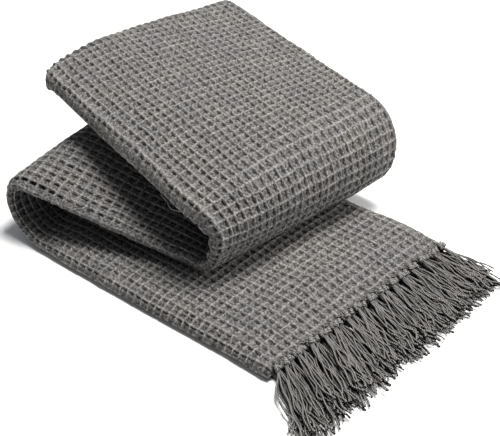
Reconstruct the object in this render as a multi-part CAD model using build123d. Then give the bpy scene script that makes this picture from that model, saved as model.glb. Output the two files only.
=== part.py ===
"""A woven cotton throw, folded in quarters lengthwise and then laid in a loose Z.

Millimetres, +Z up, the origin under the middle of the overall box. X runs along the
strip towards its fringed end, Y across it. The strip's shape is given by its middle
surface: one path along the near edge and one along the far edge.
"""

from build123d import *
import math
import os

# The cloth
PLY_THICKNESS = 3.75
PLIES = 4
HALF = PLY_THICKNESS * PLIES / 2  # half the strip's thickness at its edges
FLAT_CROWN = 0.6  # how far a nearly flat side still bulges
FULL_CROWN = 6.5  # how far the upper side of a resting run bulges
END_CROWN = 3.0  # the same at the fringed end, where the plies are pressed flat
LAYER_GAP = 1.0  # between the top run and the layer tucked under it


# The middle surface's two edges. A fold is part of an ellipse in X and Z: its middle, half its
# width and height, the angles it turns through, where it starts and ends in Y, and how far it leans.
def ellipse_fold(middle, half_size, turn, y, lean=0.0):
    return {"middle": middle, "half_size": half_size, "turn": turn, "y": y, "lean": lean}


NEAR_EDGE = {
    "start": (19.0, -29.0, HALF),
    "left": ellipse_fold((-355.5, 40.5), (39.5, 33.0), turn=(270, 80), y=(-25.0, -17.0), lean=-0.42),
    "right": ellipse_fold((-150.5, 73.5), (35.5, 41.5), turn=(-102, 83), y=(41.5, 34.0)),
    "end": (-446.0, 97.5, 153.0),
}
FAR_EDGE = {
    "start": (11.5, 280.0, HALF),
    "left": ellipse_fold((-396.5, 58.0), (50.5, 50.5), turn=(270, 78), y=(282.0, 293.0)),
    "right": ellipse_fold((-150.5, 84.0), (54.5, 57.5), turn=(-114, 86), y=(324.5, 324.5)),
    "end": (-438.0, 406.0, 154.0),
}
FOLD_STEPS = 12
RUN_STEPS = 4
TUCK_SHARE = 0.72  # how much of the top run has the tucked layer under it

# The fringe
TASSELS_PER_PLY = 15
KNOT_RADIUS = 3.2
KNOT_GAP = 0.6  # between the cloth's edge and the knots
KNOT_HEIGHTS = (3.3, 6.6, 9.9, 13.2)  # knot centres above the floor, lowest ply first
TASSEL_LENGTH = 98.0
TASSEL_NECK = 2.0
TASSEL_SPREAD = 4.6  # half a tassel's width at its tip
TASSEL_FLATNESS = 1.6  # half a tassel's thickness at its tip
TIP_HEIGHTS = (1.7, 1.7, 5.1, 5.1)
FAN_NEAR = -33.0  # degrees that the tassel at the near corner turns outwards
FAN_FAR = -10.0
TUCKED_TASSEL_LENGTH = 84.0
TUCKED_TASSEL_DROOP = 14.0


def blend(first, second, share):
    return first + (second - first) * share


def fold_point(fold, share):
    """A point on a fold's edge, share 0 where it starts and 1 where it ends."""
    angle = math.radians(blend(*fold["turn"], share))
    middle_x, middle_z = fold["middle"]
    half_width, half_height = fold["half_size"]
    up = half_height * math.sin(angle)
    x = middle_x + half_width * math.cos(angle) + fold["lean"] * up
    return Vector(x, blend(*fold["y"], share), middle_z + up)


def edge_points(edge):
    """The points of each stretch of one edge, in order from the fringed end."""
    left = [fold_point(edge["left"], step / FOLD_STEPS) for step in range(FOLD_STEPS + 1)]
    right = [fold_point(edge["right"], step / FOLD_STEPS) for step in range(FOLD_STEPS + 1)]
    start, end = Vector(edge["start"]), Vector(edge["end"])

    def straight(first, last):
        return [blend(first, last, step / RUN_STEPS) for step in range(RUN_STEPS + 1)]

    return {
        "bottom_run": straight(start, left[0]),
        "left_fold": left,
        "middle_run": straight(left[-1], right[0]),
        "right_fold": right,
        "top_run": straight(right[-1], end),
    }


def section_plane(near, far, ahead):
    """A plane across the strip: X to the far edge, Y out of the upper side of the bottom run."""
    across = (far - near).normalized()
    square = ahead - across * ahead.dot(across)
    return Plane(origin=near, x_dir=across, z_dir=square * -1)


def section(plane, width, crown):
    """The strip's outline in one plane: flat below, rounded edges, bulging above."""
    below = Line((0, -HALF), (width, -HALF))
    far_edge = ThreePointArc((width, -HALF), (width + HALF, 0), (width, HALF))
    above = ThreePointArc((width, HALF), (width / 2, HALF + crown), (0, HALF))
    near_edge = ThreePointArc((0, HALF), (-HALF, 0), (0, -HALF))
    return plane * make_face(Wire([below, far_edge, above, near_edge]))


def headings(near_points, far_points):
    """The direction of travel at each station, shared by both edges."""
    middles = [(near + far) / 2 for near, far in zip(near_points, far_points)]
    last = len(middles) - 1
    return [(middles[min(i + 1, last)] - middles[max(i - 1, 0)]).normalized() for i in range(last + 1)]


def strip_path():
    """Near point, far point and heading of every station, and each node's first and last station."""
    near_stretches, far_stretches = edge_points(NEAR_EDGE), edge_points(FAR_EDGE)
    near_points, far_points, spans = [], [], {}
    for node, stretch in near_stretches.items():
        skip = 1 if near_points else 0
        first = len(near_points) - skip
        near_points += stretch[skip:]
        far_points += far_stretches[node][skip:]
        spans[node] = (first, len(near_points) - 1)
    return list(zip(near_points, far_points, headings(near_points, far_points))), spans


def crown_at(node, share):
    """How far the strip's outer side bulges along one node."""
    if node == "bottom_run":
        return blend(END_CROWN, FULL_CROWN, min(1.0, share * 2))
    if node == "left_fold":
        return blend(FULL_CROWN, FLAT_CROWN, share)
    if node == "right_fold":
        return blend(FLAT_CROWN, FULL_CROWN, share)
    return FULL_CROWN if node == "top_run" else FLAT_CROWN


def strip_solid(stations, crowns):
    """One stretch of the strip as a solid, ruled from section to section."""
    faces = []
    for (near, far, ahead), crown in zip(stations, crowns):
        faces.append(section(section_plane(near, far, ahead), (far - near).length, crown))
    return loft(faces, ruled=True)


def strip_nodes(stations, spans):
    nodes = {}
    for node, (first, last) in spans.items():
        crowns = [crown_at(node, (i - first) / (last - first)) for i in range(first, last + 1)]
        nodes[node] = strip_solid(stations[first:last + 1], crowns)
    return nodes


def tucked_nodes(stations, spans):
    """The strip's other end, folded back under the top run, and the stations of its fringe."""
    first, last = spans["top_run"]
    radius = HALF + LAYER_GAP / 2
    near, far, heading_out = stations[last]
    plane = section_plane(near, far, heading_out)
    up, ahead = plane.y_dir, plane.z_dir * -1
    turn = []
    for step in range(FOLD_STEPS + 1):
        angle = math.pi * step / FOLD_STEPS
        shift = (up * math.cos(angle) + ahead * math.sin(angle) - up) * radius
        heading = ahead * math.cos(angle) - up * math.sin(angle)
        turn.append((near + shift, far + shift, heading))
    back = []
    for step in range(RUN_STEPS + 1):
        share = 1 - TUCK_SHARE * step / RUN_STEPS
        near_point = blend(stations[first][0], near, share)
        far_point = blend(stations[first][1], far, share)
        drop = section_plane(near_point, far_point, ahead).y_dir * (-2 * radius)
        back.append((near_point + drop, far_point + drop, ahead * -1))
    flat = [FLAT_CROWN / 6] * (FOLD_STEPS + 1)
    solids = {"top_end_fold": strip_solid(turn, flat), "tucked_run": strip_solid(back, flat[:len(back)])}
    return solids, back[-1]


def tassel(knot, tip, spread_along):
    """A knot and its bundle of yarns, which widens and flattens towards the tip."""
    bundle_way = (tip - knot).normalized()

    def outline(ahead, half_width, half_thickness):
        plane = Plane(origin=knot + bundle_way * ahead, x_dir=spread_along, z_dir=bundle_way)
        return plane * Ellipse(half_width, half_thickness)

    return loft(
        [
            outline(-KNOT_RADIUS, KNOT_RADIUS * 0.6, KNOT_RADIUS * 0.5),
            outline(0, KNOT_RADIUS, KNOT_RADIUS * 0.98),
            outline(KNOT_RADIUS, TASSEL_NECK, TASSEL_FLATNESS),
            outline((tip - knot).length, TASSEL_SPREAD, TASSEL_FLATNESS),
        ],
        ruled=True,
    )


def tassel_row(ply):
    """The tassels of one ply at the end on view, near corner first."""
    near, far = Vector(NEAR_EDGE["start"]), Vector(FAR_EDGE["start"])
    offset = 0.5 if ply % 2 else 0.0  # every other ply sits half a pitch along
    row = []
    for i in range(TASSELS_PER_PLY):
        share = (i + 0.25 + offset) / TASSELS_PER_PLY
        edge_point = blend(near, far, share)
        rise = END_CROWN * 4 * share * (1 - share) * ply / PLIES
        knot = Vector(edge_point.X + KNOT_RADIUS + KNOT_GAP, edge_point.Y, KNOT_HEIGHTS[ply] + rise)
        fan = math.radians(blend(FAN_NEAR, FAN_FAR, share))
        reach = Vector(math.cos(fan), math.sin(fan), 0) * TASSEL_LENGTH
        tip = Vector(knot.X + reach.X, knot.Y + reach.Y, TIP_HEIGHTS[ply])
        row.append(tassel(knot, tip, Vector(-math.sin(fan), math.cos(fan), 0)))
    return row


def tucked_tassel_row(ply, station):
    """The tassels of one ply at the tucked end, lying back inside the right fold."""
    near, far, ahead = station
    plane = section_plane(near, far, ahead)
    offset = 0.5 if ply % 2 else 0.0
    level = (ply // 2 - 0.5) * 2.2 * KNOT_RADIUS
    row = []
    for i in range(TASSELS_PER_PLY):
        share = (i + 0.25 + offset) / TASSELS_PER_PLY
        knot = blend(near, far, share) + ahead * (KNOT_RADIUS + 0.4) + plane.y_dir * level
        tip = knot + ahead * TUCKED_TASSEL_LENGTH - Vector(0, 0, TUCKED_TASSEL_DROOP)
        row.append(tassel(knot, tip, plane.x_dir))
    return row


def all_nodes():
    stations, spans = strip_path()
    nodes = {name: [solid] for name, solid in strip_nodes(stations, spans).items()}
    tucked, tucked_end = tucked_nodes(stations, spans)
    nodes.update({name: [solid] for name, solid in tucked.items()})
    top_ply = PLIES - 1
    for number, solid in enumerate(tassel_row(top_ply), start=1):
        nodes[f"tassel_{number:02d}"] = [solid]
    for ply in range(top_ply):
        nodes[f"fringe_ply_{ply + 1}"] = tassel_row(ply)
    for ply in range(PLIES):
        nodes[f"tucked_fringe_ply_{ply + 1}"] = tucked_tassel_row(ply, tucked_end)
    return nodes


def main():
    nodes = all_nodes()
    box = Compound([solid for solids in nodes.values() for solid in solids]).bounding_box()
    middle = box.center()
    to_origin = Pos(-middle.X, -middle.Y, 0)
    os.makedirs("parts", exist_ok=True)
    for name, solids in nodes.items():
        moved = [to_origin * solid for solid in solids]
        shape = moved[0] if len(moved) == 1 else Compound(moved)
        export_step(shape, f"parts/{name}.step")
    print("moved by", -middle.X, -middle.Y, "lowest", box.min.Z)


main()
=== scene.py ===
import math

import bpy
import numpy as np
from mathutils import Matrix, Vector


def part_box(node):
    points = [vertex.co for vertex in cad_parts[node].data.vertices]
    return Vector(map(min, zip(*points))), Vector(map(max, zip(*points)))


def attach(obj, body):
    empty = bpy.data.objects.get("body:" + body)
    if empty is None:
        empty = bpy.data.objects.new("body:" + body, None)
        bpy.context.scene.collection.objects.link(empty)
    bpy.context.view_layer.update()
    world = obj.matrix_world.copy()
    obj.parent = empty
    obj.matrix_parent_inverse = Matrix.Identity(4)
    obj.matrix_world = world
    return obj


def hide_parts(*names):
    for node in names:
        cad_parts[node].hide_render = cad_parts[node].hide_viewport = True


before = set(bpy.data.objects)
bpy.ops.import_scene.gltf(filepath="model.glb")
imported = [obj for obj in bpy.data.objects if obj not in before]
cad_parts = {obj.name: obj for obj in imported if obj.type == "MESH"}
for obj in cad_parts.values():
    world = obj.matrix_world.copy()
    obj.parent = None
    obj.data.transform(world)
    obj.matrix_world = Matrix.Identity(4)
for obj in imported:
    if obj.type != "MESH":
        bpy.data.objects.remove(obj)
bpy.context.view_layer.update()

# A waffle-weave cotton throw, folded in quarters lengthwise and laid in a loose Z. The folded strip
# is one continuous outer skin of cloth wound round its middle surface; the plies inside it aren't
# made. The fringe is made of single yarns. Lengths are in millimetres and are turned into metres as
# each mesh is made; the layout they are given in is shifted into the frame by ORIGIN.
MM = 0.001
SEED = 7
FLOOR_GAP = 0.2  # cloth and yarns never reach lower than this

# The camera, in the layout
CAMERA_SPOT = (677.5, -797.9, 798.3)
CAMERA_WAY = (-0.571, 0.639, -0.515)
LENS = 90.72
SENSOR_WIDTH = 36

# The folded strip, as in the CAD
HALF = 7.5  # half its thickness at the edges
BOTTOM_RUN_END_X = 19.2  # where the bottom run's box ends, in the layout
BOTTOM_RUN_NEAR_Y = -36.5
NEAR_START = (19.0, -29.0, HALF)
FAR_START = (11.5, 280.0, HALF)
NEAR_END = (-446.0, 97.5, 153.0)
FAR_END = (-438.0, 406.0, 154.0)
# Folds as parts of ellipses: middle and half size in X and Z, angles turned through, Y at both
# ends, and how far the ellipse leans
NEAR_LEFT_FOLD = ((-355.5, 40.5), (39.5, 33.0), (270, 80), (-25.0, -17.0), -0.42)
FAR_LEFT_FOLD = ((-396.5, 58.0), (50.5, 50.5), (270, 78), (282.0, 293.0), 0.0)
NEAR_RIGHT_FOLD = ((-150.5, 73.5), (35.5, 41.5), (-102, 83), (41.5, 34.0), 0.0)
FAR_RIGHT_FOLD = ((-150.5, 84.0), (54.5, 57.5), (-114, 86), (324.5, 324.5), 0.0)
LAYER_RADIUS = 8.0  # of the last fold, half the way from the top run's middle surface to the tucked run's
TUCKED_LENGTH = 210.0
CAP_ROWS = 4  # rows that round off each of the strip's two ends
END_ROUNDING = 2.0
JOIN_SOFTENING = 9.0  # how far the change from a run to a fold is spread
ROUGH_POINTS = 60  # on each stretch, before they are spaced evenly

# The waffle weave
CELL_ALONG = 11.4
CELL_ACROSS = 12.0
STEPS_PER_CELL = 10
SPACING = CELL_ALONG / STEPS_PER_CELL  # between the rows of the skin
HOLLOW_DEPTH = 3.7  # depth of the relief for one unit of waffle_height
RIDGE_WIDTH = 0.105  # share of a cell
# How much the cells are drawn out along the strip and how far the weave slants, stretch by stretch
CELL_STRETCH = (0.98, 1.0, 1.05, 0.90, 1.06, 1.06, 1.06)
WEAVE_SLANT = (0.0, 0.15, 0.30, 0.0, 0.15, 0.1, 0.1)
STRIP_WIDTH = 309.0  # between the middles of its two rounded edges
CROWN_PEAK = 0.32  # where a run bulges most, as a share of its width
BOTTOM_CROWN = 8.5
FOLD_CROWN = 3.0  # on the outside of the left fold
MIDDLE_CROWN = 8.0
TOP_CROWN = 11.0
TOP_EDGE_RADIUS = 13.5  # the plump near edge of the top run
TUCK_INSET = 20.0  # how far in the tucked layer's near edge lies
END_BOW = 8.0  # how far the top run's end bows out
FAR_BULGE = 5.0  # how far the far edge of the lower runs swells out
PUCKER = 1.8  # unevenness of the right fold's near edge
PINCH = 7.0  # how far the right fold's near edge is drawn in
PLY_GROOVE = 1.6  # depth of the grooves between the plies at the open edge
# How many pieces each stretch's mesh is made in
STRETCHES = {
    "bottom_run": 3,
    "left_fold": 1,
    "middle_run": 2,
    "right_fold": 1,
    "top_run": 2,
    "top_end_fold": 1,
    "tucked_run": 2,
}
END_FOLD_MARGIN = 8  # rows of the neighbouring runs that go with the last fold's piece

# The fringe
TASSELS_PER_PLY = 15
PLIES = 4
YARN_RADIUS = 0.9
# Tassels of the upper ply, of the plies below it and of the tucked end: how many yarns, how long they
# are and the share of that length within which they part
TOP_TASSEL = {"count": 16, "length": 84.0, "parted": 0.8}
LOWER_TASSEL = {"count": 14, "length": 92.0, "parted": 0.35}
TUCKED_TASSEL = {"count": 7, "length": 82.0, "parted": 0.8}
LENGTH_NEAR = 1.10  # the tassels grow shorter from the near corner to the far one
LENGTH_FAR = 0.88
FAN_NEAR = -31.0  # degrees from straight ahead at the near corner, changing evenly to the far one
FAN_FAR = -6.0
NECK = 1.6  # radius of a bundle of yarns where it leaves its knot
TASSEL_HALF_WIDTH = 10.0
TASSEL_HALF_THICKNESS = 5.0
TOP_REST = 8.5  # height at which the upper ply's yarns come to rest
LOWER_REST = (2.0, 5.0)
KNOT_SIZE = 3.7  # about half the width of the loop that a knot's strand makes
KNOT_STRAND_RADIUS = 2.7
GATHERED_ENDS = 5  # short ends that run from the cloth into each knot
GATHERED_SPREAD = 7.5  # how far to each side of its knot they start
GATHERED_RADIUS = 1.0
TUCKED_DROOP = 12.0  # how far the tucked tassels hang below their knots
TUCKED_FAN = -14.0  # degrees, along the top run's edges
TUCKED_PLY_STEP = 3.2  # from one ply's knots to the next one's
KNOT_HEIGHTS = (3.6, 7.0, 10.4, 13.6)  # lowest ply first
KNOT_FORWARD = 5.8  # from the cloth's edge to the upper ply's knots
KNOTS_SET_BACK = 1.5  # how much nearer to it the other plies' knots are
KNOT_RISE = 3.0  # how much higher the upper ply's knots are midway across

# The set, in metres
FLOOR_HALF_SIZE = 6
FLOOR_WHITE = (0.9, 0.9, 0.9, 1)
SKY = (0.88, 0.93, 1.0, 1)
SKY_STRENGTH = 0.26

rng = np.random.default_rng(SEED)
low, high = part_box("bottom_run")
ORIGIN = np.array([high.x / MM - BOTTOM_RUN_END_X, low.y / MM - BOTTOM_RUN_NEAR_Y, 0.0])


def placed(points):
    """Points in the layout's millimetres as metres in the shared frame."""
    return (np.asarray(points, float) + ORIGIN) * MM


def unit(vectors):
    return vectors / np.maximum(np.linalg.norm(vectors, axis=-1, keepdims=True), 1e-9)


def smooth_step(low_end, high_end, value):
    t = np.clip((value - low_end) / (high_end - low_end), 0, 1)
    return t * t * (3 - 2 * t)


# ---------------------------------------------------------------- camera

scene = bpy.context.scene
camera_data = bpy.data.cameras.new("camera")
camera_data.lens = LENS
camera_data.sensor_width = SENSOR_WIDTH
camera = bpy.data.objects.new("camera", camera_data)
bpy.context.collection.objects.link(camera)
camera.location = placed(CAMERA_SPOT)
camera.rotation_euler = Vector(CAMERA_WAY).to_track_quat("-Z", "Y").to_euler()
scene.camera = camera


# ---------------------------------------------------------------- the strip's middle surface


def fold_points(fold):
    """Points round one fold's edge."""
    (middle_x, middle_z), (half_width, half_height), turn, ends_y, lean = fold
    angle = np.radians(np.linspace(*turn, ROUGH_POINTS))
    up = half_height * np.sin(angle)
    x = middle_x + half_width * np.cos(angle) + lean * up
    return np.stack([x, np.linspace(*ends_y, ROUGH_POINTS), middle_z + up], axis=1)


def straight_points(first, last):
    """Points along one straight stretch of an edge."""
    share = np.linspace(0, 1, ROUGH_POINTS)[:, None]
    return np.asarray(first) * (1 - share) + np.asarray(last) * share


def edge_stretches(start, left_fold, right_fold, end):
    """The points of each stretch of one edge, in order from the fringed end."""
    left, right = fold_points(left_fold), fold_points(right_fold)
    return {
        "bottom_run": straight_points(start, left[0]),
        "left_fold": left,
        "middle_run": straight_points(left[-1], right[0]),
        "right_fold": right,
        "top_run": straight_points(right[-1], end),
    }


def resampled(points, at):
    """The points at the given places in a row of points, which may lie between two of them."""
    places = np.arange(len(points))
    return np.stack([np.interp(at, places, points[:, axis]) for axis in range(3)], axis=1)


def strip_edges():
    """Both edges of the middle surface as rows of points, and the row where each stretch ends."""
    near_stretches = edge_stretches(NEAR_START, NEAR_LEFT_FOLD, NEAR_RIGHT_FOLD, NEAR_END)
    far_stretches = edge_stretches(FAR_START, FAR_LEFT_FOLD, FAR_RIGHT_FOLD, FAR_END)
    near_rows, far_rows, ends, rows = [], [], {}, 0
    for name, near in near_stretches.items():
        far = far_stretches[name]
        length = np.linalg.norm(np.diff((near + far) / 2, axis=0), axis=1).sum()
        count = max(2, int(round(length / SPACING)))
        at = np.linspace(0, ROUGH_POINTS - 1, count, endpoint=False)
        near_rows.append(resampled(near, at))
        far_rows.append(resampled(far, at))
        rows += count
        ends[name] = rows
    near_rows.append(np.array([NEAR_END]))
    far_rows.append(np.array([FAR_END]))
    return soften(np.concatenate(near_rows)), soften(np.concatenate(far_rows)), ends


def soften(points):
    """Rounds the joins between straight runs and folds, and keeps both ends where they are."""
    reach = int(JOIN_SOFTENING / SPACING)
    kernel = np.hanning(2 * reach + 3)[1:-1]
    kernel /= kernel.sum()
    before = points[0] + (points[0] - points[1]) * np.arange(reach, 0, -1)[:, None]
    after = points[-1] + (points[-1] - points[-2]) * np.arange(1, reach + 1)[:, None]
    padded = np.concatenate([before, points, after])
    return np.stack([np.convolve(padded[:, axis], kernel, "valid") for axis in range(3)], axis=1)


def add_tucked_end(near, far):
    """Carries both edges round the last fold and back under the top run."""
    across = unit(far[-1] - near[-1])
    ahead = (near[-1] + far[-1] - near[-2] - far[-2]) / 2
    ahead = unit(ahead - across * (ahead @ across))
    up = np.cross(across, ahead)
    turn = np.linspace(0, math.pi, int(round(math.pi * LAYER_RADIUS / SPACING)) + 1)[1:, None]
    swing = (up * np.cos(turn) + ahead * np.sin(turn) - up) * LAYER_RADIUS
    back = int(round(TUCKED_LENGTH / SPACING))
    drop = -2 * LAYER_RADIUS * up
    near_back = near[-back:][::-1] + drop
    far_back = far[-back:][::-1] + drop
    turned = len(near) + len(turn)
    near = np.concatenate([near, near[-1] + swing, near_back])
    far = np.concatenate([far, far[-1] + swing, far_back])
    return near, far, turned


def add_end_caps(near, far, ends):
    """Rows that close both ends of the skin, and how full the strip is at every row."""
    turn = np.linspace(0, math.pi / 2, CAP_ROWS + 1)[1:, None]
    start_way = unit(near[0] + far[0] - near[1] - far[1]) * END_ROUNDING
    end_way = unit(near[-1] + far[-1] - near[-2] - far[-2]) * END_ROUNDING
    before, after = start_way * np.sin(turn[::-1]), end_way * np.sin(turn)
    closing = np.cos(turn)
    full = np.concatenate([closing[::-1], np.ones((len(near), 1)), closing])
    near = np.concatenate([near[0] + before, near, near[-1] + after])
    far = np.concatenate([far[0] + before, far, far[-1] + after])
    return near, far, {name: row + CAP_ROWS for name, row in ends.items()}, full


# ---------------------------------------------------------------- the waffle cloth


def soft_noise(x, y, seed):
    """Smooth noise from -1 to 1 on a grid of random values one unit apart."""
    table = np.random.default_rng(seed).uniform(-1, 1, (64, 64))
    x0, y0 = np.floor(x).astype(int), np.floor(y).astype(int)
    fx, fy = smooth_step(0, 1, x - x0), smooth_step(0, 1, y - y0)
    a, b = table[x0 % 64, y0 % 64], table[(x0 + 1) % 64, y0 % 64]
    c, d = table[x0 % 64, (y0 + 1) % 64], table[(x0 + 1) % 64, (y0 + 1) % 64]
    return (a * (1 - fx) + b * fx) * (1 - fy) + (c * (1 - fx) + d * fx) * fy


def waffle_height(across, along, facing):
    """Height of the weave, 0 on a ridge and about -1.6 in the slit beside it.

    The first two inputs count cells. Facing is 1 on the side of the strip where across runs
    towards the near edge, and -1 on the other.
    """
    sideways = 0.10 * soft_noise(across * 0.35, along * 0.3, 1)
    across = across + sideways + 0.05 * soft_noise(across * 1.3, along * 1.1, 2)
    lengthways = 0.10 * soft_noise(across * 0.3, along * 0.35, 3)
    along = along + lengthways + 0.06 * soft_noise(across * 1.2, along * 1.3, 4)
    u = across - np.floor(across)
    bow = 0.10 * (1 - (2 * u - 1) ** 2)
    v = along + bow
    v = v - np.floor(v)
    du, dv = np.minimum(u, 1 - u), np.minimum(v, 1 - v)
    uneven = soft_noise(across * 3.1, along * 3.1, 6)
    long_ridge = np.exp(-((du / RIDGE_WIDTH) ** 2))
    cross_height = 0.72 + 0.15 * soft_noise(across * 1.7, along * 1.7, 5)
    cross_ridge = cross_height * np.exp(-((dv / RIDGE_WIDTH) ** 2))
    ridge = np.maximum(long_ridge, cross_ridge)
    bowl = np.minimum(1, 2.4 * np.minimum(du, dv))
    ring = np.exp(-(((np.hypot(u - 0.42, v - 0.5) - 0.22) / 0.07) ** 2)) * (1 + 0.6 * uneven)
    beside_ridge = ((u - 0.5 + 0.32 * facing) / 0.085) ** 2
    slit = np.exp(-beside_ridge - ((v - 0.48) / 0.3) ** 4) * (1 + 0.5 * uneven)
    return -(1 - ridge) * (0.50 + 0.35 * bowl) + 0.34 * ring * (1 - ridge) - 0.85 * slit


def section_outline():
    """Once round the folded strip: share across it, and how far out and up each point of an edge is."""
    step = CELL_ACROSS / STEPS_PER_CELL
    flat = int(round(STRIP_WIDTH / step))
    bend = int(round(math.pi * HALF / step))
    top = np.linspace(1, 0, flat, endpoint=False)
    turn = np.linspace(0, math.pi, bend, endpoint=False)
    none, one = np.zeros(flat), np.ones(flat)
    return {
        "share": np.concatenate([top, np.zeros(bend), 1 - top, np.ones(bend)]),
        "upper": np.concatenate([one, np.zeros(bend), none, np.zeros(bend)]),
        "lower": np.concatenate([none, np.zeros(bend), one, np.zeros(bend)]),
        "near_out": np.concatenate([none, np.sin(turn), none, np.zeros(bend)]),
        "near_up": np.concatenate([none, np.cos(turn), none, np.zeros(bend)]),
        "far_out": np.concatenate([none, np.zeros(bend), none, np.sin(turn)]),
        "far_up": np.concatenate([none, np.zeros(bend), none, -np.cos(turn)]),
    }


def crown_shape(share):
    """How a run bulges across its width: 0 at both edges and 1 nearer the near one."""
    rising = np.sin(share / CROWN_PEAK * math.pi / 2)
    falling = np.cos((share - CROWN_PEAK) / (1 - CROWN_PEAK) * math.pi / 2) ** 1.2
    return np.where(share < CROWN_PEAK, rising, falling)


def along_strip(values, s, stop):
    """A value given stretch by stretch, changing evenly from the middle of one to the next."""
    starts = [0] + list(stop.values())[:-1]
    centres = [(start + end) / 2 for start, end in zip(starts, stop.values())]
    return np.interp(s, centres, values)


def between(near, far, share):
    """Points for every row and every place across it, from the near edge's to the far edge's."""
    return near[:, None, :] * (1 - share)[..., None] + far[:, None, :] * share[..., None]


# In the functions below, s is the distance along the strip and stop says where each stretch ends.


def near_edge_radius(s, stop):
    """The radius of the near edge, plump at the right fold and top run and uneven at the fold."""
    plump = smooth_step(stop["middle_run"] - 20, stop["right_fold"] - 20, s)
    plump = plump * (1 - smooth_step(stop["top_run"], stop["top_end_fold"], s))
    on_right_fold = np.exp(-(((s - (stop["middle_run"] + stop["right_fold"]) / 2) / 60) ** 2))
    radius = HALF + (TOP_EDGE_RADIUS - HALF) * plump
    return radius + PUCKER * on_right_fold * soft_noise(s / 7, np.zeros_like(s), 21)


def shift_across(share, s, stop):
    """How far the skin moves towards the far side: in at the near edge and out at the far one."""
    tuck_in = TUCK_INSET * smooth_step(stop["top_run"], stop["top_end_fold"] + 10, s)
    pinch = PINCH * np.exp(-(((s - stop["middle_run"] - 95) / 32) ** 2))
    swelling = smooth_step(0, 60, s) * (1 - smooth_step(stop["left_fold"], stop["middle_run"], s))
    return (tuck_in + pinch) * (1 - share) ** 3 + FAR_BULGE * share**3 * swelling


def crowns(share, s, stop):
    """How far the skin bulges above the middle surface and below it.

    The bottom and top runs bulge on their upper side, and the left fold and middle run on the
    other, which is outside at the fold.
    """
    leaving_bottom = smooth_step(stop["bottom_run"] - 20, stop["bottom_run"] + 60, s)
    entering_top = smooth_step(stop["middle_run"] + 30, stop["right_fold"], s)
    leaving_top = smooth_step(stop["top_run"] - 5, stop["top_end_fold"], s)
    above = BOTTOM_CROWN * smooth_step(0, 60, s) * (1 - leaving_bottom)
    above = above + TOP_CROWN * entering_top * (1 - leaving_top)
    entering_fold = smooth_step(stop["bottom_run"] - 10, stop["left_fold"] - 60, s)
    leaving_fold = smooth_step(stop["left_fold"] - 40, stop["left_fold"] + 30, s)
    below = entering_fold * (FOLD_CROWN + (MIDDLE_CROWN - FOLD_CROWN) * leaving_fold)
    below = below * (1 - smooth_step(stop["middle_run"] - 60, stop["middle_run"], s))
    even = (4 * share * (1 - share)) ** 0.3
    up_to_fold = 1 - smooth_step(stop["left_fold"], stop["left_fold"] + 60, s)
    shape = crown_shape(share) + (even - crown_shape(share)) * up_to_fold
    return above * shape, below * shape


def lift_from_middle(outline, s, stop):
    """How far each point of the skin lies above the middle surface, and how far beyond its edges."""
    share = outline["share"][None, :]
    near_radius = near_edge_radius(s, stop)
    above, below = crowns(share, s, stop)
    sag = 2 * (near_radius - HALF) * np.clip(1 - share / 0.16, 0, 1) ** 2
    lift = outline["upper"] * (HALF + above) - outline["lower"] * (HALF + below + sag)
    lift = lift + (outline["near_out"] + np.abs(outline["near_up"]) > 0) * (HALF - near_radius)
    lift = lift + outline["near_up"] * near_radius + outline["far_up"] * HALF
    return lift, outline["far_out"] * HALF - outline["near_out"] * near_radius


def weave_coordinates(share, s, stop):
    """Cells counted round the strip and along it, for every point of the skin."""
    stretch, slant = along_strip(CELL_STRETCH, s, stop), along_strip(WEAVE_SLANT, s, stop)
    cells = np.cumsum(np.diff(s, axis=0, prepend=0) / (CELL_ALONG * stretch), axis=0)
    along = cells + slant * (share - 0.5) * STRIP_WIDTH / CELL_ALONG
    around = np.broadcast_to(np.arange(share.shape[1]) / STEPS_PER_CELL, along.shape)
    return around, along


def strip_skin():
    """The bare skin of the folded strip, row by row along it, with its weave coordinates."""
    near, far, ends = strip_edges()
    near, far, turned = add_tucked_end(near, far)
    tucked_edge = near[-1], far[-1]
    near, far, ends, full = add_end_caps(near, far, dict(ends, top_end_fold=turned))
    ends["tucked_run"] = len(near) - 1
    outline = section_outline()
    share = outline["share"][None, :]
    centre = (near + far) / 2
    s = np.concatenate([[0], np.cumsum(np.linalg.norm(np.diff(centre, axis=0), axis=1))])[:, None]
    stop = {name: s[end, 0] for name, end in ends.items()}

    across = unit(far - near)
    near_up = unit(np.cross(across, unit(np.gradient(near, axis=0))))
    far_up = unit(np.cross(across, unit(np.gradient(far, axis=0))))
    up = unit(between(near_up, far_up, share))
    lift, out = lift_from_middle(outline, s, stop)
    out = shift_across(share, s, stop) + out * full
    end_bow = END_BOW * np.exp(-(((s - (stop["top_run"] + stop["top_end_fold"]) / 2) / 60) ** 2))
    ahead_at_end = unit(np.gradient(centre, axis=0))[ends["top_run"] - 4]
    skin = between(near, far, share) + up * (lift * full)[..., None] + across[:, None, :] * out[..., None]
    skin = skin + ahead_at_end * (end_bow * np.sin(math.pi * share**0.45))[..., None]
    around, along = weave_coordinates(share, s, stop)
    return skin, around, along, outline, ends, full, tucked_edge


def grid_normals(grid):
    """Outward normals of a skin that closes on itself round each row."""
    along = np.gradient(grid, axis=0)
    around = np.roll(grid, -1, axis=1) - np.roll(grid, 1, axis=1)
    return unit(np.cross(along, around))


def mesh_object(name, vertices, faces, uvs=None):
    """A smooth mesh, with a pair of weave coordinates for each vertex where uvs gives them."""
    mesh = bpy.data.meshes.new(name)
    mesh.from_pydata(vertices.tolist(), [], faces.tolist())
    if uvs is not None:
        layer = mesh.uv_layers.new(name="weave")
        loops = np.zeros(len(mesh.loops), np.int32)
        mesh.loops.foreach_get("vertex_index", loops)
        layer.data.foreach_set("uv", uvs[loops].astype(np.float32).ravel())
    mesh.shade_smooth()
    piece = bpy.data.objects.new(name, mesh)
    bpy.context.collection.objects.link(piece)
    return piece


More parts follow.
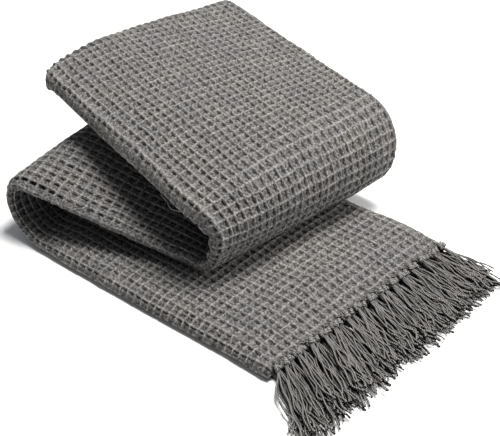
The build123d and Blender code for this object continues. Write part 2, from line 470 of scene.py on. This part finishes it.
def cloth_piece(name, skin, around, along, relief, first, last):
    """The rows of the skin from first to last as one mesh, which keeps its relief for the material to paint
    shade by.
    """
    rows = slice(first, last + 1)
    index = np.arange(skin[rows, :, 0].size).reshape(-1, skin.shape[1])
    after = np.roll(index, -1, axis=1)
    faces = np.stack([index[:-1], after[:-1], after[1:], index[1:]], axis=-1).reshape(-1, 4)
    uvs = np.stack([around[rows], along[rows]], axis=-1).reshape(-1, 2)
    piece = mesh_object(name, placed(skin[rows].reshape(-1, 3)), faces, uvs)
    depth = piece.data.attributes.new("relief", "FLOAT", "POINT")
    depth.data.foreach_set("value", relief[rows].astype(np.float32).ravel())
    return piece


def ply_grooves(outline):
    """Grooves between the plies along the far edge, where they aren't joined."""
    height = outline["far_up"] * PLIES / 2
    groove = sum(np.exp(-(((height - level) / 0.22) ** 2)) for level in (-1, 0, 1))
    return -PLY_GROOVE * groove * (outline["far_out"] > 0.05)


def cloth_relief(skin, around, along, outline, full):
    """The skin with the weave, a soft unevenness and the grooves between plies, and the weave's height."""
    facing = np.where(outline["upper"] + outline["near_up"] + outline["far_up"] > 0, 1, -1)
    relief = waffle_height(around, along, facing)
    uneven = 1.3 * soft_noise(around / 4.5, along / 5.5, 11) + 0.5 * soft_noise(around / 1.9, along / 2.1, 12)
    offset = relief * HOLLOW_DEPTH + uneven + ply_grooves(outline)[None, :]
    return skin + grid_normals(skin) * (offset * full)[..., None], relief


# ---------------------------------------------------------------- the fringe


def tubes(paths, radii, turns, sides=6):
    """One mesh of many twisted yarns that flare at their tips. Paths is yarns by points by 3."""
    count, points = paths.shape[:2]
    way = unit(np.gradient(paths, axis=1))
    side = unit(np.cross(way, np.array([0.0, 0.0, 1.0]) + 0.05 * way[:, ::-1]))
    over = np.cross(side, way)
    angle = np.linspace(0, 2 * math.pi, sides, endpoint=False)
    twist = np.linspace(0, 1, points)[None, :, None] * turns[:, None, None] * 2 * math.pi
    radius = radii[:, None, None] * (1 + 0.22 * np.cos(2 * (angle[None, None, :] - twist)))
    radius = radius * (1 + 0.25 * smooth_step(0.92, 1.0, np.linspace(0, 1, points))[None, :, None])
    ring = side[:, :, None, :] * np.cos(angle)[:, None] + over[:, :, None, :] * np.sin(angle)[:, None]
    vertices = paths[:, :, None, :] + ring * radius[..., None]
    index = np.arange(count * points * sides).reshape(count, points, sides)
    after = np.roll(index, -1, axis=2)
    quads = np.stack([index[:, :-1], index[:, 1:], after[:, 1:], after[:, :-1]], axis=-1).reshape(-1, 4)
    u = np.broadcast_to(np.arange(sides) / sides, index.shape)
    v = np.broadcast_to((np.linspace(0, 1, points)[None, :] * turns[:, None])[..., None], index.shape)
    return vertices.reshape(-1, 3), quads, np.stack([u, v], axis=-1).reshape(-1, 2)


def yarn_paths(knot, fan, length, count, rest, parted, points=30):
    """Wavy yarns that leave a knot in a round bundle, part, and settle at the rest height."""
    t = np.linspace(0, 1, points)[None, :]
    heading = np.array([math.cos(fan), math.sin(fan), 0.0])
    side = np.array([-math.sin(fan), math.cos(fan), 0.0])

    def each(low_end, high_end):
        return rng.uniform(low_end, high_end, (count, 1))

    def wave(size, turns):
        return each(*size) * np.sin(2 * math.pi * (each(*turns) * t + each(0, 1)))

    place = np.sqrt(each(0, 1))
    angle = each(0, 2 * math.pi)
    parting = smooth_step(0, parted, t)
    aside = place * np.cos(angle) * (NECK + (TASSEL_HALF_WIDTH - NECK) * parting)
    aside = aside + each(-5, 5) * t**2 + wave((0.8, 3.0), (0.6, 1.6)) * np.minimum(1, 2.5 * t)
    aside = aside + wave((1.0, 4.5), (1.5, 3.5)) * t**3
    thick = place * np.sin(angle) * (NECK + (TASSEL_HALF_THICKNESS - NECK) * parting)
    settling = (1 - t) ** each(1.0, 1.8)
    height = rest + (knot[2] - rest) * settling + thick * (1 - 0.4 * t) + wave((0.5, 2.2), (1, 3)) * t
    ahead = length * each(0.76, 1.12) * t - each(0, 5) * np.sin(math.pi * t) * t
    paths = knot + heading * ahead[..., None] + side * aside[..., None]
    paths[..., 2] = np.maximum(height, YARN_RADIUS * 1.3)
    return paths


def knot_path(knot, points=34):
    """An overhand knot's single strand."""
    t = np.linspace(0, 2 * math.pi, points)
    across, up = np.sin(t) + 2 * np.sin(2 * t), np.cos(t) - 2 * np.cos(2 * t)
    loop = np.stack([-1.2 * np.sin(3 * t), across, up], axis=1)
    tilt = rng.uniform(0, 2 * math.pi)
    sine, cosine = math.sin(tilt), math.cos(tilt)
    turn = np.array([[1, 0, 0], [0, cosine, -sine], [0, sine, cosine]])
    path = knot + loop @ turn.T * KNOT_SIZE / 3
    return path[None]


def gathered_paths(knot, edge_way, points=8):
    """Short warp ends that run from the cloth's edge into the knot."""
    t = np.linspace(0, 1, points)[None, :, None]
    offsets = np.linspace(-GATHERED_SPREAD, GATHERED_SPREAD, GATHERED_ENDS)[:, None, None]
    offsets = offsets + rng.uniform(-1, 1, (GATHERED_ENDS, 1, 1))
    start = knot - np.array([7.5, 0.0, -0.4]) + edge_way * offsets
    return start * (1 - t) + knot * t


def joined(parts):
    """Several meshes' vertices, faces and weave coordinates as one mesh's."""
    vertices, faces, uvs, total = [], [], [], 0
    for part_vertices, part_faces, part_uvs in parts:
        vertices.append(part_vertices)
        faces.append(part_faces + total)
        uvs.append(part_uvs)
        total += len(part_vertices)
    return np.concatenate(vertices), np.concatenate(faces), np.concatenate(uvs)


def tassel(kind, knot, fan, rest, edge_way, longer=1.0):
    """One tassel's yarns, knot and gathered ends, as separate tubes."""
    count = kind["count"]
    yarns = yarn_paths(knot, fan, kind["length"] * longer, count, rest, kind["parted"])
    yarn_radii, yarn_turns = rng.uniform(0.85, 1.15, count) * YARN_RADIUS, rng.uniform(16, 24, count)
    strand = knot_path(knot)
    gathered = gathered_paths(knot, edge_way)
    return [
        tubes(yarns, yarn_radii, yarn_turns),
        tubes(strand, np.array([KNOT_STRAND_RADIUS]), np.array([12.0]), sides=8),
        tubes(gathered, np.full(GATHERED_ENDS, GATHERED_RADIUS), np.full(GATHERED_ENDS, 2.0)),
    ]


def share_across(ply, number):
    """Where a tassel sits across the strip. Every other ply's are half a pitch further."""
    return (number + 0.25 + 0.5 * (ply % 2)) / TASSELS_PER_PLY


def fringe_knot(ply, number):
    """Where a tassel's knot sits at the end on view, ply 0 lowest, and which way it fans."""
    share = share_across(ply, number)
    edge = np.asarray(NEAR_START) * (1 - share) + np.asarray(FAR_START) * share
    rise = KNOT_RISE * 4 * share * (1 - share) * ply / PLIES
    forward = KNOT_FORWARD + rng.uniform(-1.2, 1.2) - (0.0 if ply == PLIES - 1 else KNOTS_SET_BACK)
    knot = np.array([edge[0] + forward, edge[1] + rng.uniform(-1.5, 1.5), KNOT_HEIGHTS[ply] + rise])
    fan = FAN_NEAR + (FAN_FAR - FAN_NEAR) * share + rng.uniform(-5, 5)
    return knot, math.radians(fan)


def yarn_piece(name, node, parts):
    """A piece made of tassels that stands for one CAD node, kept clear of the floor."""
    vertices, faces, uvs = joined(parts)
    vertices[:, 2] = np.maximum(vertices[:, 2], FLOOR_GAP)
    piece = mesh_object(name, placed(vertices), faces, uvs)
    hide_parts(node)
    return piece


def fringe_pieces():
    """The fringe at the end on view: the upper ply's tassels one by one, each ply below as one piece."""
    edge_way = unit(np.subtract(FAR_START, NEAR_START))
    pieces = []
    for ply in range(PLIES):
        upper = ply == PLIES - 1
        kind = TOP_TASSEL if upper else LOWER_TASSEL
        tassels = []
        for number in range(TASSELS_PER_PLY):
            knot, fan = fringe_knot(ply, number)
            longer = LENGTH_NEAR + (LENGTH_FAR - LENGTH_NEAR) * number / TASSELS_PER_PLY
            rest = TOP_REST if upper else rng.uniform(*LOWER_REST) + ply
            tassels.append(tassel(kind, knot, fan, rest, edge_way, longer))
        if upper:
            for number, parts in enumerate(tassels, start=1):
                pieces.append(yarn_piece(f"tassel_yarns_{number:02d}", f"tassel_{number:02d}", parts))
        else:
            parts = sum(tassels, [])
            pieces.append(yarn_piece(f"fringe_yarns_ply_{ply + 1}", f"fringe_ply_{ply + 1}", parts))
    return pieces


def tucked_fringe_pieces(near, far):
    """The fringe of the tucked end, drooping between the top and middle runs."""
    edge_way = unit(far - near)
    fan = math.radians(TUCKED_FAN)
    pieces = []
    for ply in range(PLIES):
        parts = []
        for number in range(TASSELS_PER_PLY):
            share = share_across(ply, number)
            level = (ply - (PLIES - 1) / 2) * TUCKED_PLY_STEP
            knot = near * (1 - share) + far * share + np.array([5.0, 0.0, level])
            rest = knot[2] - TUCKED_DROOP + rng.uniform(-2, 2)
            parts += tassel(TUCKED_TASSEL, knot, fan, rest, edge_way)
        pieces.append(yarn_piece(f"tucked_yarns_ply_{ply + 1}", f"tucked_fringe_ply_{ply + 1}", parts))
    return pieces


# ---------------------------------------------------------------- the pieces

skin, around, along, outline, ends, full, tucked_edge = strip_skin()
skin, relief = cloth_relief(skin, around, along, outline, full)
skin[..., 2] = np.maximum(skin[..., 2], FLOOR_GAP)
fringe = fringe_pieces()
tucked_fringe = tucked_fringe_pieces(*tucked_edge)
for piece in fringe + tucked_fringe:
    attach(piece, "root")
ends["top_run"] -= END_FOLD_MARGIN
ends["top_end_fold"] += END_FOLD_MARGIN
start = 0
cloth = []
for node, parts in STRETCHES.items():
    cuts = np.linspace(start, ends[node], parts + 1).astype(int)
    for part, (first, last) in enumerate(zip(cuts, cuts[1:])):
        piece = cloth_piece(f"cloth_{node}_{part + 1}", skin, around, along, relief, first, last)
        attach(piece, "root")
        if part == 0:
            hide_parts(node)
        cloth.append(piece)
    start = ends[node]


# ---------------------------------------------------------------- light and floor

corners = np.array([[-1, -1, 0], [1, -1, 0], [1, 1, 0], [-1, 1, 0]], float) * FLOOR_HALF_SIZE
floor = mesh_object("floor", corners, np.array([[0, 1, 2, 3]]))
white = bpy.data.materials.new("white_floor")
white.use_nodes = True
white_shader = white.node_tree.nodes["Principled BSDF"]
white_shader.inputs["Base Color"].default_value = FLOOR_WHITE
white_shader.inputs["Roughness"].default_value = 0.9
floor.data.materials.append(white)

world = bpy.data.worlds.new("studio")
world.use_nodes = True
background = world.node_tree.nodes["Background"]
background.inputs["Color"].default_value = SKY
background.inputs["Strength"].default_value = SKY_STRENGTH
scene.world = world


def area_light(name, location, size, power, colour):
    """A square light that faces the object. Size and location are in metres."""
    data = bpy.data.lights.new(name, "AREA")
    data.size = size
    data.energy = power
    data.color = colour
    light = bpy.data.objects.new(name, data)
    light.location = location
    light.rotation_euler = Vector(location).to_track_quat("Z", "Y").to_euler()
    bpy.context.collection.objects.link(light)


area_light("key", location=(0.27, 0.3, 2.12), size=0.9, power=79, colour=(1.0, 0.975, 0.945))
area_light("fill", location=(1.6, 0.7, 1.0), size=1.2, power=26, colour=(1.0, 0.98, 0.96))
scene.view_settings.view_transform = "Standard"


# ---------------------------------------------------------------- materials


def new_material(name, roughness):
    """A cotton material with little shine, its node tree and its shader."""
    material = bpy.data.materials.new(name)
    material.use_nodes = True
    shader = material.node_tree.nodes["Principled BSDF"]
    shader.inputs["Roughness"].default_value = roughness
    shader.inputs["Specular IOR Level"].default_value = 0.15
    shader.inputs["Sheen Weight"].default_value = 0.04
    shader.inputs["Sheen Roughness"].default_value = 0.6
    return material, material.node_tree, shader


def noise_node(tree, vector, scale, detail):
    """Fractal noise at the given number of features to a metre."""
    node = tree.nodes.new("ShaderNodeTexNoise")
    node.inputs["Scale"].default_value = scale
    node.inputs["Detail"].default_value = detail
    tree.links.new(vector, node.inputs["Vector"])
    return node.outputs["Fac"]


def ramp_node(tree, factor, stops):
    """A colour read off between stops, each a position from 0 to 1 and a colour."""
    node = tree.nodes.new("ShaderNodeValToRGB")
    while len(node.color_ramp.elements) < len(stops):
        node.color_ramp.elements.new(0.5)
    for element, (position, colour) in zip(node.color_ramp.elements, stops):
        element.position = position
        element.color = (*colour, 1)
    tree.links.new(factor, node.inputs["Fac"])
    return node.outputs["Color"]


def multiply_node(tree, first, second):
    """Two colours multiplied."""
    node = tree.nodes.new("ShaderNodeMix")
    node.data_type = "RGBA"
    node.blend_type = "MULTIPLY"
    node.inputs["Factor"].default_value = 1.0
    tree.links.new(first, node.inputs["A"])
    tree.links.new(second, node.inputs["B"])
    return node.outputs["Result"]


def math_node(tree, operation, *values):
    """A sum, product or sine of links or plain numbers."""
    node = tree.nodes.new("ShaderNodeMath")
    node.operation = operation
    for value, socket in zip(values, node.inputs):
        if isinstance(value, float):
            socket.default_value = value
        else:
            tree.links.new(value, socket)
    return node.outputs[0]


def painted_occlusion_shade(tree, distance, darkest):
    """Painted shade from ambient occlusion: a tone that is dark where other surfaces lie within the distance,
    in metres, and a little lighter where none do.
    """
    node = tree.nodes.new("ShaderNodeAmbientOcclusion")
    node.inputs["Distance"].default_value = distance
    stops = [(0.3, (darkest, darkest, darkest * 1.06)), (0.92, (1.15, 1.15, 1.15))]
    return ramp_node(tree, node.outputs["AO"], stops)


def bump_node(tree, height, distance):
    """A normal that follows a height, which is this many metres for a value of 1."""
    node = tree.nodes.new("ShaderNodeBump")
    node.inputs["Distance"].default_value = distance
    tree.links.new(height, node.inputs["Height"])
    return node.outputs["Normal"]


def waffle_material():
    """Cotton with painted shade that makes it darker the deeper it lies in the weave and painted shade from
    ambient occlusion, with fibres and soft patches.
    """
    material, tree, shader = new_material("waffle_cotton", 0.95)
    relief = tree.nodes.new("ShaderNodeAttribute")
    relief.attribute_name = "relief"
    level = tree.nodes.new("ShaderNodeMapRange")
    level.inputs["From Min"].default_value = -1.6
    level.inputs["From Max"].default_value = 0.0
    tree.links.new(relief.outputs["Fac"], level.inputs["Value"])
    # Painted shade: the deeper the weave, the darker, near black in the slits, and the ridges painted
    # lightest.
    painted_depth_shade = ramp_node(tree, level.outputs["Result"], [
        (0.0, (0.006, 0.006, 0.007)),
        (0.35, (0.02, 0.0193, 0.019)),
        (0.52, (0.088, 0.0845, 0.082)),
        (0.8, (0.13, 0.125, 0.121)),
        (1.0, (0.20, 0.193, 0.186)),
    ])
    place = tree.nodes.new("ShaderNodeTexCoord").outputs["Object"]
    fibres = noise_node(tree, place, 400.0, 2.5)
    patches = noise_node(tree, place, 28.0, 2.0)
    fibre_tone = ramp_node(tree, fibres, [(0.36, (0.4, 0.4, 0.4)), (0.64, (1.55, 1.55, 1.55))])
    patch_tone = ramp_node(tree, patches, [(0.35, (0.94, 0.95, 0.98)), (0.65, (1.05, 1.04, 1.02))])
    colour = multiply_node(tree, painted_depth_shade, fibre_tone)
    colour = multiply_node(tree, colour, patch_tone)
    # Painted shade from ambient occlusion in the weave's hollows and where the runs lie close.
    colour = multiply_node(tree, colour, painted_occlusion_shade(tree, 0.005, 0.15))
    tree.links.new(colour, shader.inputs["Base Color"])
    tree.links.new(bump_node(tree, fibres, 0.0012), shader.inputs["Normal"])
    return material


def yarn_material():
    """Twisted cotton yarn: two strands wind round each other along the weave coordinates, with painted shade
    between them and painted highlights on them.
    """
    material, tree, shader = new_material("fringe_cotton", 0.9)
    weave = tree.nodes.new("ShaderNodeUVMap")
    weave.uv_map = "weave"
    split = tree.nodes.new("ShaderNodeSeparateXYZ")
    tree.links.new(weave.outputs["UV"], split.inputs["Vector"])
    twist = math_node(tree, "ADD", split.outputs["X"], split.outputs["Y"])
    strands = math_node(tree, "SINE", math_node(tree, "MULTIPLY", twist, 4 * math.pi))
    # Painted shade between the two strands and painted highlights on their crowns.
    painted_strand_shading = ramp_node(tree, strands, [(0.0, (0.11, 0.106, 0.102)), (1.0, (0.27, 0.26, 0.25))])
    place = tree.nodes.new("ShaderNodeTexCoord").outputs["Object"]
    fibres = noise_node(tree, place, 1100.0, 2.0)
    fibre_tone = ramp_node(tree, fibres, [(0.3, (0.8, 0.8, 0.8)), (0.7, (1.15, 1.15, 1.15))])
    colour = multiply_node(tree, painted_strand_shading, fibre_tone)
    # Painted shade from ambient occlusion where the yarns lie close.
    colour = multiply_node(tree, colour, painted_occlusion_shade(tree, 0.008, 0.08))
    tree.links.new(colour, shader.inputs["Base Color"])
    tree.links.new(bump_node(tree, strands, 0.0003), shader.inputs["Normal"])
    return material


waffle_cotton = waffle_material()
for piece in cloth:
    piece.data.materials.append(waffle_cotton)
fringe_cotton = yarn_material()
for piece in fringe + tucked_fringe:
    piece.data.materials.append(fringe_cotton)
